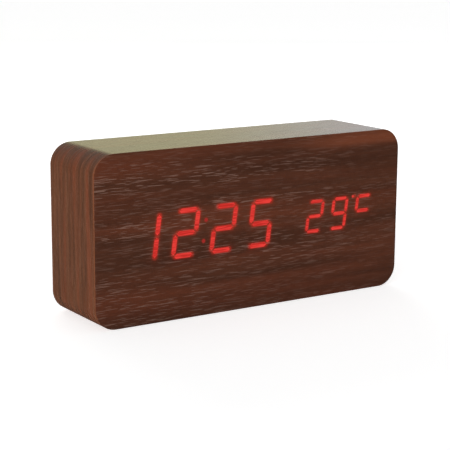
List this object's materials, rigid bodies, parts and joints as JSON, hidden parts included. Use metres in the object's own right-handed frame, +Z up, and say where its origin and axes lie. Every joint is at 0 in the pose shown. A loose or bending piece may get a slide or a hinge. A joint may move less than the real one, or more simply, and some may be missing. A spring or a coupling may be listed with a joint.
{
  "type": "alarm clock",
  "caption": "Block-shaped bedside alarm clock in a wood-look case: red LED digits shine through the front, with keys, power socket and battery door on the back.",
  "frame": {"origin": "centre of the base, on the surface the clock stands on", "axes": "+X to the right seen from the front, +Y from the front face to the back, +Z up"},
  "size_m": [0.15, 0.038, 0.07],
  "materials": {
    "film": "satin dark brown wood-grain decor film, printed and embossed with long pores",
    "fibreboard": "raw medium-density fibreboard, routed",
    "reflector_plastic": "moulded white light-box plastic",
    "lit_lens": "red light guide, lit",
    "dim_lens": "red light guide, dimly lit",
    "unlit_lens": "red light guide, unlit",
    "led": "moulded chip package",
    "circuit_board": "green solder mask over glass laminate",
    "chip_plastic": "moulded black epoxy",
    "tinned_metal": "tin plated",
    "ceramic": "fired ceramic with plated ends",
    "steel": "nickel plated steel",
    "zinc_screw": "zinc plated, pressed cross recess",
    "black_abs": "moulded ABS with a fine spark-eroded texture",
    "button_abs": "moulded ABS, satin",
    "tray_abs": "moulded ABS, plain",
    "cell_jacket": "printed shrink sleeve, plain green",
    "cell_steel": "nickel plated can",
    "red_insulation": "extruded wire insulation",
    "black_insulation": "extruded wire insulation",
    "grey_insulation": "extruded ribbon insulation",
    "connector_nylon": "moulded natural nylon",
    "black_rubber": "moulded rubber",
    "sensor_epoxy": "dipped epoxy bead",
    "capacitor_sleeve": "shrink sleeve"
  },
  "bodies": {
    "case": {"case_body": "fibreboard", "front_film": "film", "wrap_film": "film", "base_film": "film", "back_film": "film", "display_reflector": "reflector_plastic", "time_lenses": "lit_lens", "temperature_lenses": "lit_lens", "dot_lenses": "dim_lens", "unlit_lenses": "unlit_lens", "led_chips": "led", "display_board": "circuit_board", "display_screws": "zinc_screw", "display_chips": "chip_plastic", "display_chip_leads": "tinned_metal", "digit_transistors": "chip_plastic", "display_resistors": "chip_plastic", "display_capacitors": "ceramic", "clock_crystal": "steel", "backup_cell_holder": "connector_nylon", "backup_cell": "cell_steel", "backup_cell_clip": "steel", "display_connector": "connector_nylon", "control_connector": "connector_nylon", "ribbon_plugs": "connector_nylon", "ribbon_cable": "grey_insulation", "back_panel": "black_abs", "back_panel_screws": "zinc_screw", "battery_tray": "tray_abs", "tray_screws": "zinc_screw", "battery_cells": "cell_steel", "cell_jackets": "cell_jacket", "contact_plates": "steel", "contact_springs": "steel", "battery_lead_red": "red_insulation", "battery_lead_black": "black_insulation", "control_board": "circuit_board", "control_board_screws": "zinc_screw", "switch_bodies": "chip_plastic", "switch_covers": "steel", "switch_terminals": "tinned_metal", "usb_socket_shell": "steel", "usb_socket_tongue": "chip_plastic", "buzzer": "chip_plastic", "microphone": "steel", "microphone_boot": "black_rubber", "temperature_sensor": "sensor_epoxy", "bulk_capacitor": "capacitor_sleeve", "voltage_regulator": "chip_plastic", "control_small_parts": "ceramic"},
    "door": {"battery_door": "black_abs", "door_latch": "black_abs"},
    "set_key": {"set_button": "button_abs", "set_plunger": "button_abs"},
    "up_key": {"up_button": "button_abs", "up_plunger": "button_abs"},
    "down_key": {"down_button": "button_abs", "down_plunger": "button_abs"}
  },
  "joints": [
    {"name": "set_press", "type": "slide", "parent": "case", "child": "set_key", "axis": [0, -1, 0], "range_m": [0, 0.0004], "stiffness_N_per_m": 1000, "springref_m": -0.0012},
    {"name": "up_press", "type": "slide", "parent": "case", "child": "up_key", "axis": [0, -1, 0], "range_m": [0, 0.0004], "stiffness_N_per_m": 1000, "springref_m": -0.0012},
    {"name": "down_press", "type": "slide", "parent": "case", "child": "down_key", "axis": [0, -1, 0], "range_m": [0, 0.0004], "stiffness_N_per_m": 1000, "springref_m": -0.0012},
    {"name": "door_hinge", "type": "hinge", "parent": "case", "child": "door", "pos_m": [0.05915, 0.0175, 0.035], "axis": [0, 0, -1], "range_deg": [0, 90], "deforming": ["door_latch"]}
  ]
}
